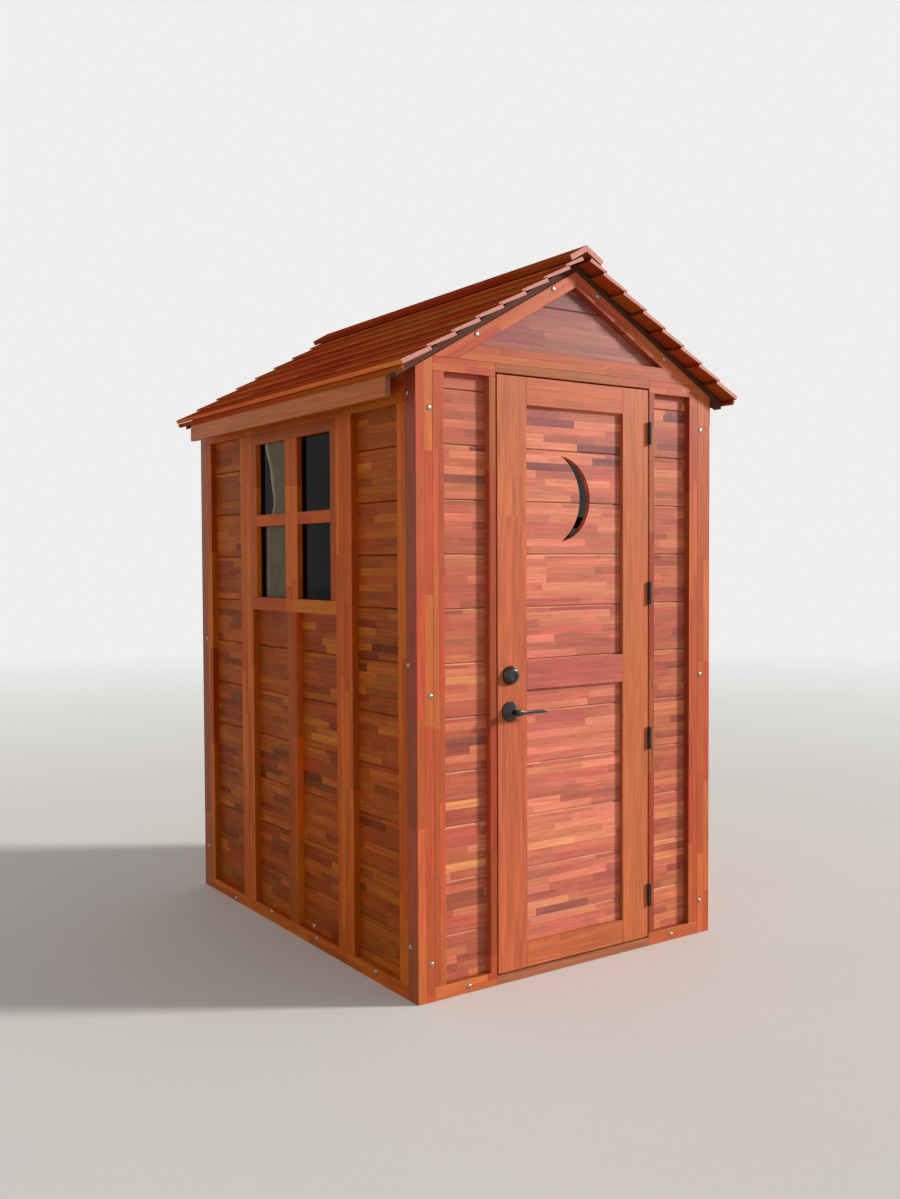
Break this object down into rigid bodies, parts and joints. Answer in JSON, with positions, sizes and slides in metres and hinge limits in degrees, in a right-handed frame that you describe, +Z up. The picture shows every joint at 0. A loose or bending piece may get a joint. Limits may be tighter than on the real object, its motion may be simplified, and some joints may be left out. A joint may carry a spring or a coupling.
{
  "type": "storage shed",
  "caption": "Small gabled timber shed with panelled walls, side windows and one hinged plank door with a moon cut-out and a lever handle.",
  "frame": {"origin": "centre of the footprint, on the ground under the floor", "axes": "+Z up, -Y toward the door side, +X toward the hinge side of the door"},
  "size_m": [1.52, 1.874, 2.5238],
  "materials": {
    "frame_wood": "satin",
    "siding_wood": "satin",
    "roof_wood": "matte",
    "inner_wood": "matte",
    "window_glass": "polished",
    "black_metal": "satin"
  },
  "bodies": {
    "shed": {"floor_deck": "inner_wood", "door_sill": "frame_wood", "corner_posts": "frame_wood", "front_stiles": "frame_wood", "front_rails": "frame_wood", "door_header": "frame_wood", "front_siding": "siding_wood", "gable_rails": "frame_wood", "rake_trims_left": "frame_wood", "rake_trims_right": "frame_wood", "gable_siding": "siding_wood", "rear_stiles": "frame_wood", "rear_rails": "frame_wood", "rear_siding": "siding_wood", "left_stiles": "frame_wood", "right_stiles": "frame_wood", "left_rails": "frame_wood", "right_rails": "frame_wood", "left_siding": "siding_wood", "right_siding": "siding_wood", "left_window_bars": "frame_wood", "right_window_bars": "frame_wood", "left_window_posts": "frame_wood", "right_window_posts": "frame_wood", "left_glass": "window_glass", "right_glass": "window_glass", "eave_fascias": "frame_wood", "rafters_left": "inner_wood", "rafters_right": "inner_wood", "roof_left": "roof_wood", "roof_right": "roof_wood", "ridge_cap_left": "roof_wood", "ridge_cap_right": "roof_wood", "frame_hinges": "black_metal"},
    "door": {"door_hinge_stile": "frame_wood", "door_lock_stile": "frame_wood", "door_rails": "frame_wood", "door_panel": "siding_wood", "door_hinges": "black_metal", "deadbolt": "black_metal", "lock_rosettes": "black_metal"},
    "lever": {"lever": "black_metal"}
  },
  "joints": [
    {"name": "door_hinge", "type": "hinge", "parent": "shed", "child": "door", "pos_m": [0.349, -0.886, 1.048], "axis": [0, 0, 1], "range_deg": [0, 115]},
    {"name": "lever_turn", "type": "hinge", "parent": "door", "child": "lever", "pos_m": [-0.294, -0.878, 0.926], "axis": [0, 1, 0], "range_deg": [0, 45], "stiffness_Nm_per_rad": 1.2, "springref_deg": -34.38}
  ]
}
